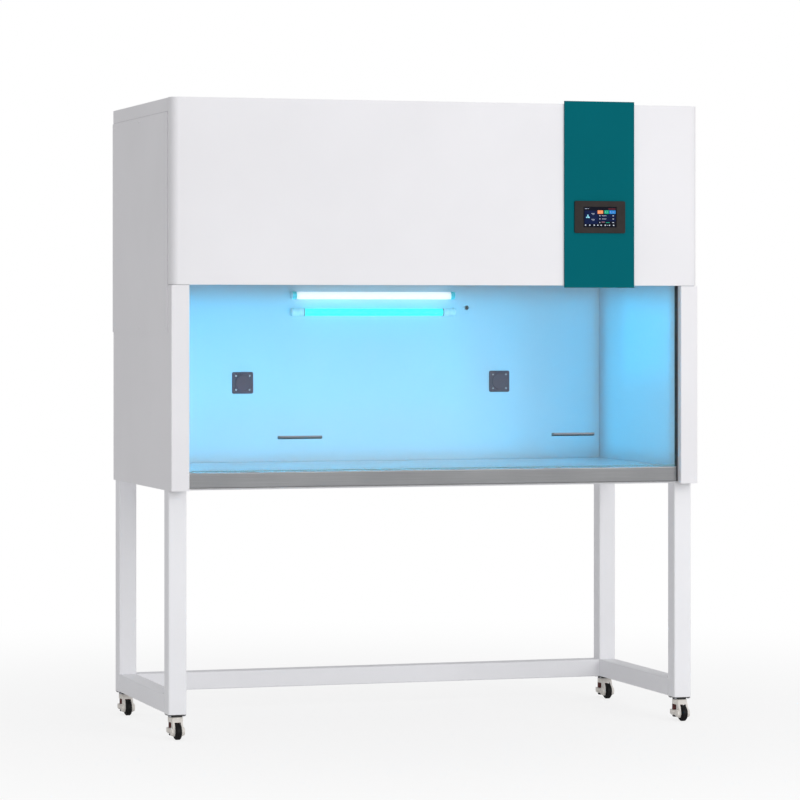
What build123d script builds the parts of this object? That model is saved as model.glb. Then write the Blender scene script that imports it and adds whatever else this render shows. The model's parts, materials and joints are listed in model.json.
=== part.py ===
from build123d import *
import math
import os

# A vertical laminar flow hood on a stand with levelling casters.
# Millimetres, +Z up, +X right, the front towards -Y.
# The origin is on the floor, under the centre of the cabinet.

# Cabinet shell
cabinet_width = 1500.0
cabinet_depth = 700.0
cabinet_height = 1046.5
outer_sheet = 1.5
liner_sheet = 1.2
bend_radius = 2.5
seam = 1.0
post_width = 50.0
post_return = 23.0
rear_flange = 45.0
top_flange = 30.0
roof_flange_height = 37.0
panel_height = 498.0
panel_return = 40.0
panel_lower_lip = 20.0
panel_corner_radius = 20.0
side_cover_sheet = 2.0
side_cover_height = 590.0

# Roof intake and prefilter
intake_length = 480.0
intake_width = 280.0
intake_rows = 12
intake_columns = 4
intake_slot_width = 8.0
intake_bridge = 14.0
prefilter_margin = 20.0
prefilter_corner = 6.0
prefilter_thickness = 25.0

# Worktop and work zone
worktop_height = 46.5
fascia_height = 41.0
fascia_return = 14.0
worktop_gap = 0.5
ceiling_above_panel = 28.0
service_void = 57.0
liner_flange = 40.0
liner_rear_tab = 21.0
liner_behind_guide = 9.0

# Stand
tube = 50.0
tube_wall = 2.0
tube_corner = 4.0
leg_length = 597.0
leg_side_inset = 2.4
leg_front_setback = 42.4
leg_rear_setback = 15.3
leg_foot_plate = 4.0
channel_flange = 70.0
channel_wall = 2.0

# Levelling casters
caster_height = 66.5
caster_turn = -90.0
caster_plate_side = 48.0
caster_plate_thickness = 2.5
caster_plate_corner = 3.0
race_radius = 19.0
race_height = 5.0
swivel_gap = 0.3
kingpin_radius = 5.0
kingpin_length = 9.0
running_gap = 0.05
hub_radius = 20.0
hub_height = 12.5
yoke_cheek = 5.5
wheel_radius = 22.0
wheel_width = 16.0
wheel_side_gap = 0.5
wheel_trail = 24.0
wheel_shoulder = 3.0
axle_radius = 3.0
axle_head_radius = 4.5
axle_head_height = 1.5
axle_boss_radius = 11.0
axle_boss_height = 4.5
axle_boss_fillet = 1.5
hub_edge = 2.0
cheek_shoulder = 10.0
cheek_reach = 12.0
cheek_toe = 6.0
wheel_slot_gap = 2.0
lower_lug_chamfer = 4.0
thumbwheel_window_gap = 1.0
foot_offset = 14.0
foot_stem_radius = 4.0
foot_pad_radius = 14.5
foot_pad_height = 5.0
foot_floor_gap = 8.5
lower_lug_radius = 21.0
lower_lug_bottom = 14.0
lower_lug_top = 28.5
thumbwheel_slot_top = 44.5
thumbwheel_radius = 15.0
thumbwheel_teeth = 18
thumbwheel_notch = 1.6
thumbwheel_gap = 0.5

# Sliding sash and its counterbalance
glass_thickness = 5.0
glass_edge_cover = 10.0
glass_overlap = 28.0
glass_floor_gap = 2.5
glass_end_gap = 3.0
glass_side_gap = 1.2
guide_wall = 3.3
guide_reveal = 4.0
guide_flange_reach = 5.0
guide_below_seam = 3.0
handle_length = 122.0
handle_height = 9.0
handle_depth = 13.0
handle_span = 780.0
handle_height_above_worktop = 92.5
handle_stop_gap = 5.5
belt_span = 1250.0
belt_width = 12.0
belt_thickness = 1.5
belt_gap = 0.3
belt_behind_glass = 8.2
pulley_radius = 17.5
pulley_width = 16.0
belt_shaft_radius = 6.0
belt_shaft_overhang = 7.0
lower_shaft_above_ceiling = 24.0
upper_shaft_below_roof = 30.0
bracket_thickness = 3.0
bracket_flange = 25.0
bracket_clearance = 9.0
clamp_width = 28.0
clamp_grip_height = 16.0
clamp_bite = 18.0
counterweight_height = 60.0
counterweight_thickness = 14.0
counterweight_roof_gap = 3.5

# Plenum, filter and fan
plenum_height = 320.0
plenum_side_gap = 2.0
plenum_front_setback = 106.0
plenum_back_setback = 12.0
filter_wall_gap = 8.0
filter_height = 90.0
filter_frame_wall = 12.0
filter_seat = 20.0
pleat_count = 56
pleat_height = 60.0
media_thickness = 2.4
diffuser_rim = 10.0
diffuser_rows = 6
diffuser_columns = 18
diffuser_bridge = 18.0
diffuser_slot = 22.0
diffuser_gap = 3.0
diffuser_margin = 34.0
impeller_radius = 140.0
impeller_eye_radius = 85.0
impeller_height = 90.0
impeller_sheet = 2.0
impeller_below_deck = 30.0
blade_count = 7
blade_inner_radius = 78.0
blade_sweep = 42.0
nozzle_gap = 3.0
nozzle_depth = 38.0
nozzle_flare = 12.0
motor_radius = 60.0
motor_height = 46.0
motor_gap = 6.0
motor_shaft_radius = 8.0
motor_shaft_reach = 34.0
motor_arm_width = 20.0
motor_arm_sheet = 3.0
motor_arm_rise = 8.0
motor_arm_lap = 10.0
motor_corner = 6.0
motor_arm_reach = 22.0

# Control strip and display
strip_width = 203.6
strip_centre = 457.5
strip_depth = 6.0
strip_sheet = 1.5
strip_rise = 8.0
strip_drop = 6.0
bezel_width = 148.0
bezel_height = 88.0
bezel_depth = 4.5
bezel_corner = 4.0
bezel_rise = 188.0
screen_width = 96.6
screen_height = 56.0
screen_lap = 4.0
screen_thickness = 2.5

# Lamps
lamp_radius = 10.5
lamp_length = 492.0
led_below_ceiling = 53.5
uv_below_ceiling = 101.5
led_cap_length = 14.0
uv_cap_length = 38.0
lamp_cap_wall = 0.8
lamp_wall_gap = 4.0
lamp_foot_width = 12.0
lamp_foot_height = 14.0

# Sockets, port and inlet
socket_span = 774.0
socket_height = 227.0
socket_side = 62.0
socket_plate_thickness = 4.0
socket_corner = 5.0
socket_chamfer = 1.5
socket_body_radius = 27.0
socket_body_depth = 32.0
socket_well_radius = 20.0
socket_well_depth = 18.0
socket_pin_radius = 2.5
socket_pin_spacing = 19.0
socket_pin_depth = 10.0
lid_radius = 24.0
lid_thickness = 4.0
lid_gap = 0.4
lid_barrel_radius = 3.0
lid_pin_radius = 1.2
lid_barrel_length = 20.0
lid_tab_width = 14.0
lid_tab_reach = 4.0
port_radius = 5.25
port_x = 287.5
port_height = 441.5
inlet_x = 600.0
inlet_height = 60.0
inlet_width = 48.0
inlet_tall = 28.0
inlet_corner = 3.0
inlet_flange = 3.0
inlet_body_depth = 24.0
inlet_well_width = 27.0
inlet_well_tall = 19.0
inlet_well_depth = 16.0
inlet_pin_width = 2.0
inlet_pin_tall = 4.0
inlet_pin_rise = 3.0
inlet_pin_spacing = 7.0
inlet_cut_margin = 3.0

# Places that follow from the sizes above
half_width = cabinet_width / 2
front_y = -cabinet_depth / 2
back_y = cabinet_depth / 2
inner_x = half_width - post_width
base_z = caster_height + leg_length
top_z = base_z + cabinet_height
panel_z = top_z - panel_height
roof_seam_z = top_z - roof_flange_height
worktop_z = base_z + worktop_height
ceiling_z = panel_z + ceiling_above_panel
ceiling_height = ceiling_z - worktop_z
liner_foot_z = worktop_z - outer_sheet
upper_front_y = front_y + panel_return + seam
guide_front_y = front_y + post_return
glass_front_y = guide_front_y + guide_wall + glass_side_gap
glass_back_y = glass_front_y + glass_thickness
guide_back_y = glass_back_y + glass_side_gap + guide_wall
liner_back_y = back_y - outer_sheet * 2 - service_void
back_panel_y = back_y - outer_sheet * 2
leg_x = half_width - leg_side_inset - tube / 2
leg_front_y = front_y + leg_front_setback + tube / 2
leg_rear_y = back_y - leg_rear_setback - tube / 2
seat_top_z = ceiling_z + outer_sheet
belt_front_y = glass_back_y + belt_behind_glass
belt_axis_y = belt_front_y + belt_thickness + belt_gap + pulley_radius
lower_shaft_z = ceiling_z + lower_shaft_above_ceiling
upper_shaft_z = top_z - upper_shaft_below_roof
belt_x = belt_span / 2
plenum_x = inner_x - plenum_side_gap
plenum_front_y = front_y + plenum_front_setback
plenum_back_y = back_y - plenum_back_setback
plenum_mid_y = (plenum_front_y + plenum_back_y) / 2
plenum_top_z = ceiling_z + plenum_height

nodes = {}


def block(x_low, x_high, y_low, y_high, z_low, z_high):
    centre = Pos((x_low + x_high) / 2, (y_low + y_high) / 2, (z_low + z_high) / 2)
    return centre * Box(x_high - x_low, y_high - y_low, z_high - z_low)


def folded_section(points, sheet, side):
    outline = FilletPolyline(*points, radius=bend_radius)
    return make_face(offset(outline, amount=sheet, side=side).edges())


def slot_field(length, width, columns, rows, slot_width, bridge):
    slot_length = (length - bridge * (columns - 1)) / columns
    pitch = (width - slot_width) / (rows - 1)
    places = GridLocations(slot_length + bridge, pitch, columns, rows)
    return Sketch() + places * Rectangle(slot_length, slot_width)


def both_sides(part):
    return [mirror(part, about=Plane.YZ), part]


def group(*parts):
    return Compound(children=list(parts))


# Stand -----------------------------------------------------------------------

def square_tube(length):
    outside = RectangleRounded(tube, tube, tube_corner)
    inside = RectangleRounded(tube - 2 * tube_wall, tube - 2 * tube_wall, tube_corner - tube_wall)
    return extrude(outside - inside, amount=length)


def leg():
    foot = extrude(RectangleRounded(tube, tube, tube_corner), amount=leg_foot_plate)
    return square_tube(leg_length) + foot


def side_rail():
    length = leg_rear_y - leg_front_y - tube
    place = Pos(leg_x, leg_front_y + tube / 2, caster_height + tube / 2)
    return place * Rot(-90, 0, 0) * square_tube(length)


def rear_rail():
    length = 2 * leg_x - tube
    return Pos(-length / 2, leg_rear_y, caster_height + tube / 2) * Rot(0, 90, 0) * square_tube(length)


def channel(length):
    # Folded channel along X, with its back at Y = 0 and its open side towards +Y.
    height = worktop_z - outer_sheet - base_z
    reach = length / 2
    outside = block(-reach, reach, 0, channel_flange, 0, height)
    return outside - block(-reach, reach, channel_wall, channel_flange, channel_wall, height - channel_wall)


def top_frame():
    # Four welded lengths of channel under the worktop, open towards its middle.
    width = 2 * (half_width - outer_sheet)
    front = leg_front_y - tube / 2
    depth = back_panel_y - front
    across = channel(width)
    along = channel(depth - 2 * channel_flange)
    bars = [Pos(0, -depth / 2, 0) * across, Pos(0, depth / 2, 0) * Rot(0, 0, 180) * across]
    bars += [Pos(side * width / 2, 0, 0) * Rot(0, 0, side * 90) * along for side in (-1, 1)]
    return group(*[Pos(0, front + depth / 2, base_z) * bar for bar in bars])


leg_places = {
    "front_left": (-leg_x, leg_front_y),
    "front_right": (leg_x, leg_front_y),
    "rear_left": (-leg_x, leg_rear_y),
    "rear_right": (leg_x, leg_rear_y),
}
for corner, (x, y) in leg_places.items():
    nodes[f"leg_{corner}"] = Pos(x, y, caster_height) * leg()
nodes["side_rails"] = group(*both_sides(side_rail()))
nodes["rear_rail"] = rear_rail()
nodes["top_frame"] = top_frame()


# Levelling casters: local +X is the way the wheel leads, the swivel axis is local Z ----------

race_z = caster_height - caster_plate_thickness - race_height
hub_top_z = race_z - swivel_gap
yoke_width = wheel_width + 2 * (wheel_side_gap + yoke_cheek)
boss_width = yoke_width + 2 * axle_boss_height
hub_bottom_z = hub_top_z - hub_height


def caster_plate():
    outline = RectangleRounded(caster_plate_side, caster_plate_side, caster_plate_corner)
    plate = extrude(outline, amount=caster_plate_thickness)
    race = extrude(Circle(race_radius), amount=-race_height)
    kingpin = extrude(Circle(kingpin_radius), amount=-race_height - kingpin_length)
    return Pos(0, 0, caster_height - caster_plate_thickness) * (plate + race + kingpin)


def caster_yoke():
    # Seen from the side: the hub, two cheeks down to the axle, and an arm back to the foot.
    side_outline = Polyline(
        (-hub_radius + hub_edge, hub_top_z - hub_edge),
        (hub_radius - hub_edge / 2, hub_top_z - hub_edge),
        (wheel_trail + cheek_shoulder, wheel_radius + cheek_reach),
        (wheel_trail + cheek_reach, wheel_radius - hub_edge),
        (wheel_trail + cheek_toe, wheel_radius - cheek_reach),
        (wheel_trail - cheek_shoulder, wheel_radius - cheek_reach),
        (wheel_trail - wheel_radius, lower_lug_bottom),
        (-foot_offset, lower_lug_bottom),
        (-foot_offset, lower_lug_top),
        (wheel_trail - cheek_reach, lower_lug_top),
        (wheel_trail - cheek_reach, thumbwheel_slot_top),
        (-hub_radius + hub_edge, thumbwheel_slot_top),
        close=True,
    )
    body = extrude(Plane.XZ * make_face(side_outline), amount=yoke_width / 2, both=True)
    body += Pos(0, 0, hub_bottom_z) * extrude(Circle(hub_radius), amount=hub_height)
    lower_lug = Pos(-foot_offset, 0, lower_lug_bottom) * extrude(
        Circle(lower_lug_radius), amount=lower_lug_top - lower_lug_bottom
    )
    body += chamfer(lower_lug.edges().group_by(Axis.Z)[0], lower_lug_chamfer)
    boss = Plane.XZ * extrude(Circle(axle_boss_radius), amount=boss_width / 2, both=True)
    boss = fillet(boss.edges().filter_by(GeomType.CIRCLE), axle_boss_fillet)
    body += Pos(wheel_trail, 0, wheel_radius) * boss
    slot_half = wheel_width / 2 + wheel_side_gap
    slot_back = wheel_trail - wheel_radius - wheel_slot_gap
    slot_front = wheel_trail + 2 * wheel_radius
    slot_top = 2 * wheel_radius + wheel_slot_gap
    body -= block(slot_back, slot_front, -slot_half, slot_half, 0, slot_top)
    window_radius = thumbwheel_radius + thumbwheel_window_gap
    window = extrude(Circle(window_radius), amount=thumbwheel_slot_top - lower_lug_top)
    body -= Pos(-foot_offset, 0, lower_lug_top) * window
    body -= Pos(-foot_offset, 0, 0) * extrude(Circle(foot_stem_radius + running_gap), amount=caster_height)
    kingpin_hole = extrude(Circle(kingpin_radius + running_gap), amount=-kingpin_length - 1)
    body -= Pos(0, 0, race_z) * kingpin_hole
    axle = Plane.XZ * extrude(Circle(axle_radius), amount=boss_width / 2, both=True)
    return body - Pos(wheel_trail, 0, wheel_radius) * axle


def caster_axle():
    half = boss_width / 2
    outline = Polyline(
        (0, -half - axle_head_height),
        (axle_head_radius, -half - axle_head_height),
        (axle_head_radius, -half),
        (axle_radius, -half),
        (axle_radius, half),
        (axle_head_radius, half),
        (axle_head_radius, half + axle_head_height),
        (0, half + axle_head_height),
        close=True,
    )
    return Pos(wheel_trail, 0, wheel_radius) * revolve(make_face(outline), Axis.Y)


def caster_wheel():
    half = wheel_width / 2
    rim = wheel_radius - wheel_shoulder
    outline = Polyline(
        (axle_radius + running_gap, -half),
        (8, -half),
        (10, -half + 2.5),
        (rim - 3, -half + 2.5),
        (rim - 1, -half),
        (rim, -half),
        (wheel_radius, -half + wheel_shoulder),
        (wheel_radius, half - wheel_shoulder),
        (rim, half),
        (rim - 1, half),
        (rim - 3, half - 2.5),
        (10, half - 2.5),
        (8, half),
        (axle_radius + running_gap, half),
        close=True,
    )
    return Pos(wheel_trail, 0, wheel_radius) * revolve(make_face(outline), Axis.Y)


def caster_thumbwheel():
    section = Circle(thumbwheel_radius) - Circle(foot_stem_radius + running_gap)
    section -= PolarLocations(thumbwheel_radius, thumbwheel_teeth) * Circle(thumbwheel_notch)
    height = thumbwheel_slot_top - lower_lug_top - 2 * thumbwheel_gap
    return Pos(-foot_offset, 0, lower_lug_top + thumbwheel_gap) * extrude(section, amount=height)


def caster_foot():
    stem_top = hub_top_z - 2
    outline = Polyline(
        (0, foot_floor_gap),
        (foot_pad_radius - 1, foot_floor_gap),
        (foot_pad_radius, foot_floor_gap + 1.5),
        (foot_pad_radius - 1.5, foot_floor_gap + foot_pad_height),
        (foot_stem_radius, foot_floor_gap + foot_pad_height),
        (foot_stem_radius, stem_top),
        (0, stem_top),
        close=True,
    )
    return Pos(-foot_offset, 0, 0) * revolve(Plane.XZ * make_face(outline), Axis.Z)


nodes["caster_plates"] = group(*[Pos(x, y, 0) * caster_plate() for x, y in leg_places.values()])
for corner, (x, y) in leg_places.items():
    place = Pos(x, y, 0) * Rot(0, 0, caster_turn)
    nodes[f"caster_yoke_{corner}"] = group(place * caster_yoke(), place * caster_axle())
    nodes[f"caster_wheel_{corner}"] = place * caster_wheel()
    nodes[f"caster_thumbwheel_{corner}"] = place * caster_thumbwheel()
    nodes[f"caster_foot_{corner}"] = place * caster_foot()


# Cabinet shell ---------------------------------------------------------------

def side_panel():
    # One folded sheet: the side, the front post below the front panel and the rear flange.
    rear = [(half_width - rear_flange, back_y), (half_width, back_y)]
    post = [(half_width, front_y), (inner_x, front_y), (inner_x, guide_front_y)]
    lower = extrude(folded_section(rear + post, outer_sheet, Side.RIGHT), amount=panel_z - seam - base_z)
    plain = [(half_width, upper_front_y)]
    upper_height = roof_seam_z - panel_z + seam
    upper = extrude(folded_section(rear + plain, outer_sheet, Side.RIGHT), amount=upper_height)
    ledge = block(
        half_width - top_flange, half_width - outer_sheet,
        upper_front_y, back_y - outer_sheet,
        roof_seam_z - outer_sheet, roof_seam_z,
    )
    return Pos(0, 0, base_z) * lower + Pos(0, 0, panel_z - seam) * upper + ledge


def side_cover():
    top = roof_seam_z - seam
    plate = block(
        half_width, half_width + side_cover_sheet,
        upper_front_y, back_y,
        top - side_cover_height, top,
    )
    return fillet(plate.edges().filter_by(Axis.X), 4)


def back_panel():
    # A flat sheet whose shoulders close the ends of the roof cap.
    reach = half_width - top_flange - seam
    shoulder = half_width - outer_sheet - seam
    top = top_z - outer_sheet
    rear_y = back_panel_y + outer_sheet
    plate = block(-reach, reach, back_panel_y, rear_y, base_z, top)
    plate += block(-shoulder, shoulder, back_panel_y, rear_y, roof_seam_z + outer_sheet + seam, top)
    cut_height = base_z + inlet_height
    half_cut = inlet_well_width / 2 + inlet_cut_margin
    cut_rise = inlet_well_tall / 2 + inlet_cut_margin - 1
    return plate - block(
        inlet_x - half_cut, inlet_x + half_cut, back_panel_y - 1, back_y,
        cut_height - cut_rise, cut_height + cut_rise,
    )


def roof_panel():
    # A folded cap whose lower lips rest on the side panels, with intake slots over the prefilter.
    outline = [
        (half_width - top_flange, roof_seam_z), (half_width, roof_seam_z), (half_width, top_z),
        (-half_width, top_z), (-half_width, roof_seam_z), (top_flange - half_width, roof_seam_z),
    ]
    section = Plane.XZ * folded_section(outline, outer_sheet, Side.LEFT)
    cap = Pos(0, back_y, 0) * extrude(section, amount=back_y - upper_front_y)
    slots = slot_field(
        intake_length, intake_width, intake_columns, intake_rows, intake_slot_width, intake_bridge
    )
    return cap - Pos(0, plenum_mid_y, top_z - 2 * outer_sheet) * extrude(slots, amount=3 * outer_sheet)


def front_panel():
    # A folded tray with rounded upright corners, open to the back.
    height = top_z - panel_z
    tray = Box(cabinet_width, panel_return, height)
    tray = fillet(tray.edges().filter_by(Axis.Z).group_by(Axis.Y)[0], panel_corner_radius)
    tray = offset(tray, amount=-outer_sheet, openings=tray.faces().sort_by(Axis.Y)[-1])
    tray = Pos(0, front_y + panel_return / 2, panel_z + height / 2) * tray
    inside = half_width - outer_sheet
    tray -= block(-inside, inside, front_y + panel_lower_lip, 0, panel_z - 1, panel_z + 2 * outer_sheet)
    return tray - display_window(front_y - 1, front_y + 2 * outer_sheet)


def display_window(y_low, y_high):
    half_x = screen_width / 2
    half_z = screen_height / 2
    middle_z = panel_z + bezel_rise
    return block(
        strip_centre - half_x, strip_centre + half_x, y_low, y_high, middle_z - half_z, middle_z + half_z
    )


def control_cover():
    height = top_z - panel_z + strip_rise + strip_drop
    tray = Box(strip_width, strip_depth, height)
    tray = offset(tray, amount=-strip_sheet, openings=tray.faces().sort_by(Axis.Y)[-1])
    middle_z = panel_z - strip_drop + height / 2
    return Pos(strip_centre, front_y - strip_depth / 2, middle_z) * tray


def display_bezel():
    face = RectangleRounded(bezel_width, bezel_height, bezel_corner)
    window = Rectangle(screen_width, screen_height)
    pocket = Rectangle(screen_width + 2 * screen_lap, screen_height + 2 * screen_lap)
    frame = extrude(face - window, amount=bezel_depth)
    frame = chamfer(frame.faces().sort_by(Axis.Z)[-1].edges(), 1)
    frame -= extrude(pocket, amount=screen_thickness)
    return strip_plane * frame


def display_screen():
    glass = Rectangle(screen_width + 2 * screen_lap, screen_height + 2 * screen_lap)
    return strip_plane * extrude(glass, amount=screen_thickness)


# The strip's front face, with local Z towards the user.
strip_plane = Plane(
    origin=(strip_centre, front_y - strip_depth, panel_z + bezel_rise), x_dir=(1, 0, 0), z_dir=(0, -1, 0)
)


def worktop():
    # A folded front edge between the sash guides, and a plate between the liners.
    nose_back_y = guide_back_y + liner_behind_guide + 1
    nose_half = inner_x - guide_reveal - worktop_gap
    outline = [
        (nose_back_y, worktop_z), (guide_front_y, worktop_z),
        (guide_front_y, worktop_z - fascia_height),
        (guide_front_y + fascia_return, worktop_z - fascia_height),
    ]
    section = Plane.YZ * folded_section(outline, outer_sheet, Side.LEFT)
    nose = extrude(section, amount=nose_half, both=True)
    plate_half = inner_x - worktop_gap
    plate = block(
        -plate_half, plate_half, nose_back_y, liner_back_y - worktop_gap,
        worktop_z - outer_sheet, worktop_z,
    )
    return nose + plate


def inner_side():
    front_y = guide_back_y + liner_behind_guide
    outline = [
        (inner_x + liner_flange, front_y), (inner_x, front_y),
        (inner_x, liner_back_y + liner_rear_tab),
    ]
    section = folded_section(outline, liner_sheet, Side.RIGHT)
    return Pos(0, 0, liner_foot_z) * extrude(section, amount=ceiling_z - liner_foot_z)


def inner_back_wall():
    # A folded sheet with side tabs, pierced for the two sockets and the probe port.
    outline = [
        (-inner_x, liner_back_y + liner_rear_tab), (-inner_x, liner_back_y),
        (inner_x, liner_back_y), (inner_x, liner_back_y + liner_rear_tab),
    ]
    section = folded_section(outline, liner_sheet, Side.LEFT)
    wall = Pos(0, 0, liner_foot_z) * extrude(section, amount=ceiling_z - liner_foot_z)
    for x, height, radius in wall_holes():
        drill = extrude(Plane.XZ * Circle(radius), amount=5, both=True)
        wall -= Pos(x, liner_back_y, worktop_z + height) * drill
    return wall


def wall_holes():
    sockets = [(side * socket_span / 2, socket_height, socket_body_radius) for side in (-1, 1)]
    return sockets + [(port_x, port_height, port_radius)]


nodes["side_panel_left"], nodes["side_panel_right"] = both_sides(side_panel())
nodes["side_covers"] = group(*both_sides(side_cover()))
nodes["back_panel"] = back_panel()
nodes["roof_panel"] = roof_panel()
nodes["front_panel"] = front_panel()
nodes["control_cover"] = control_cover()
nodes["display_bezel"] = display_bezel()
nodes["display_screen"] = display_screen()
nodes["worktop"] = worktop()
nodes["inner_side_left"], nodes["inner_side_right"] = both_sides(inner_side())
nodes["inner_back_wall"] = inner_back_wall()


# Sliding sash ----------------------------------------------------------------

glass_half = inner_x + glass_edge_cover
glass_bottom_z = worktop_z + glass_floor_gap
glass_top_z = panel_z + glass_overlap
handle_bottom_z = worktop_z + handle_height_above_worktop - handle_height / 2
ledge_travel = panel_z - handle_stop_gap - handle_bottom_z - handle_height
header_height = top_z - outer_sheet - seat_top_z
header_travel = header_height - counterweight_height - 2 * counterweight_roof_gap
sash_travel = min(ledge_travel, header_travel)


def sash_glass():
    pane = block(-glass_half, glass_half, glass_front_y, glass_back_y, glass_bottom_z, glass_top_z)
    return chamfer(pane.faces().sort_by(Axis.Z)[0].edges().filter_by(Axis.X), 1)


def sash_handle():
    # A finger ledge whose underside slopes back to the glass.
    outline = Polyline(
        (0, 0), (0, handle_height), (-handle_depth, handle_height),
        (-handle_depth, handle_height * 0.55), (-handle_depth * 0.3, 0), close=True,
    )
    bar = extrude(Plane.YZ * make_face(outline), amount=handle_length / 2, both=True)
    bar = fillet(bar.edges().filter_by(Axis.Z).group_by(Axis.Y)[0], 3)
    return Pos(handle_span / 2, glass_front_y, handle_bottom_z) * bar


def sash_guide():
    # An extrusion: a channel for the glass, a web behind the post and a flange on the side panel.
    mouth_x = inner_x - guide_reveal
    slot_end_x = glass_half + glass_end_gap
    channel_end_x = slot_end_x + guide_wall
    flange_x = half_width - outer_sheet
    track = Pos((mouth_x + channel_end_x) / 2, (guide_front_y + guide_back_y) / 2) * Rectangle(
        channel_end_x - mouth_x, guide_back_y - guide_front_y
    )
    slot = Pos((mouth_x + slot_end_x) / 2, (glass_front_y + glass_back_y) / 2) * Rectangle(
        slot_end_x - mouth_x, glass_thickness + 2 * glass_side_gap
    )
    web = Pos((channel_end_x + flange_x) / 2, guide_front_y + 1) * Rectangle(flange_x - channel_end_x, 2)
    flange_depth = guide_back_y + guide_flange_reach - guide_front_y
    flange = Pos(flange_x - 1, guide_front_y + flange_depth / 2) * Rectangle(2, flange_depth)
    foot_z = worktop_z - fascia_height
    guide_height = roof_seam_z - guide_below_seam - foot_z
    return Pos(0, 0, foot_z) * extrude(track - slot + web + flange, amount=guide_height)


def sash_clamp():
    # Straddles the top edge of the glass and reaches back to the belt.
    half = clamp_width / 2
    low_z = glass_top_z - clamp_bite
    high_z = lower_shaft_z + clamp_grip_height + 2
    cheek = 2.2
    body = block(
        belt_x - half, belt_x + half, glass_front_y - cheek, glass_back_y + cheek, low_z, high_z
    )
    arm = block(
        belt_x - half, belt_x + half, glass_back_y, belt_front_y - belt_gap,
        high_z - clamp_grip_height, high_z,
    )
    bite = block(
        belt_x - half, belt_x + half, glass_front_y, glass_back_y, low_z, glass_top_z
    )
    return body + arm - bite


def belt():
    # An endless flat belt round the upper and lower pulleys.
    reach = upper_shaft_z - lower_shaft_z
    inside = pulley_radius + belt_gap
    loop = SlotCenterToCenter(reach, 2 * (inside + belt_thickness)) - SlotCenterToCenter(reach, 2 * inside)
    ring = extrude(loop, amount=belt_width / 2, both=True)
    upright = Rot(0, 90, 0) * ring
    return Pos(belt_x, belt_axis_y, (lower_shaft_z + upper_shaft_z) / 2) * upright


def belt_shaft(z):
    reach = bracket_x + bracket_thickness + belt_shaft_overhang
    shaft = extrude(Circle(belt_shaft_radius), amount=reach, both=True)
    pulley = extrude(Circle(pulley_radius), amount=pulley_width / 2, both=True)
    shaft += [Pos(0, 0, side * belt_x) * pulley for side in (-1, 1)]
    return Pos(0, belt_axis_y, z) * Rot(0, 90, 0) * shaft


def belt_bracket():
    # A folded plate that carries both shafts, fixed to the front wall of the plenum.
    front = belt_axis_y - pulley_radius - 5
    top = top_z - outer_sheet - 4
    web = block(bracket_x, bracket_x + bracket_thickness, front, plenum_front_y, seat_top_z, top)
    flange = block(
        bracket_x, bracket_x + bracket_flange, plenum_front_y - bracket_thickness, plenum_front_y,
        seat_top_z, plenum_top_z,
    )
    bracket = web + flange
    for z in (lower_shaft_z, upper_shaft_z):
        bore = extrude(Circle(belt_shaft_radius + running_gap), amount=2 * bracket_thickness, both=True)
        bracket -= Pos(bracket_x, belt_axis_y, z) * Rot(0, 90, 0) * bore
    return bracket


def counterweight():
    front = belt_axis_y + pulley_radius + belt_gap * 2 + belt_thickness
    half = belt_x + belt_width / 2 + 1
    top = top_z - outer_sheet - counterweight_roof_gap
    bar = block(-half, half, front, front + counterweight_thickness, top - counterweight_height, top)
    return chamfer(bar.edges().filter_by(Axis.X), 1.5)


bracket_x = belt_x + pulley_width / 2 + 7
nodes["sash_glass"] = sash_glass()
nodes["sash_handles"] = group(*both_sides(sash_handle()))
nodes["sash_guide_left"], nodes["sash_guide_right"] = both_sides(sash_guide())
nodes["sash_clamps"] = group(*both_sides(sash_clamp()))
nodes["sash_belts"] = group(*both_sides(belt()))
nodes["belt_shaft_upper"] = belt_shaft(upper_shaft_z)
nodes["belt_shaft_lower"] = belt_shaft(lower_shaft_z)
nodes["belt_brackets"] = group(*both_sides(belt_bracket()))
nodes["counterweight"] = counterweight()


# Air path --------------------------------------------------------------------

filter_x = plenum_x - outer_sheet - filter_wall_gap
filter_front_y = plenum_front_y + outer_sheet + filter_wall_gap
filter_back_y = plenum_back_y - outer_sheet - filter_wall_gap
impeller_top_z = plenum_top_z - outer_sheet - impeller_below_deck
impeller_bottom_z = impeller_top_z - impeller_height
nozzle_radius = impeller_eye_radius - nozzle_gap


def plenum():
    # A welded box over the filter, on a seat plate that also closes the sash compartment below.
    depth = plenum_back_y - plenum_front_y
    box = Box(2 * plenum_x, depth, plenum_height)
    box = offset(box, amount=-outer_sheet, openings=box.faces().sort_by(Axis.Z)[0])
    box = Pos(0, plenum_mid_y, ceiling_z + plenum_height / 2) * box
    reach = half_width - outer_sheet - worktop_gap
    seat = block(-reach, reach, guide_back_y + liner_behind_guide, back_panel_y - seam, ceiling_z, seat_top_z)
    seat += block(
        -inner_x + 8, inner_x - 8, glass_back_y + 6, guide_back_y + liner_behind_guide, ceiling_z, seat_top_z
    )
    seat -= block(
        -filter_x + filter_seat, filter_x - filter_seat,
        filter_front_y + filter_seat, filter_back_y - filter_seat, ceiling_z, seat_top_z,
    )
    eye = Pos(0, plenum_mid_y, plenum_top_z - 2 * outer_sheet) * extrude(
        Circle(nozzle_radius - outer_sheet), amount=3 * outer_sheet
    )
    return box - eye + seat + nozzle()


def nozzle():
    inner = nozzle_radius - outer_sheet
    brim = nozzle_radius + nozzle_flare
    throat_z = plenum_top_z - nozzle_flare
    outlet_z = plenum_top_z - nozzle_depth
    outline = Polyline(
        (nozzle_radius, outlet_z), (nozzle_radius, throat_z),
        (brim, plenum_top_z - outer_sheet), (brim, plenum_top_z),
        (inner, throat_z), (inner, outlet_z), close=True,
    )
    return Pos(0, plenum_mid_y, 0) * revolve(Plane.XZ * make_face(outline), Axis.Z)


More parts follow.
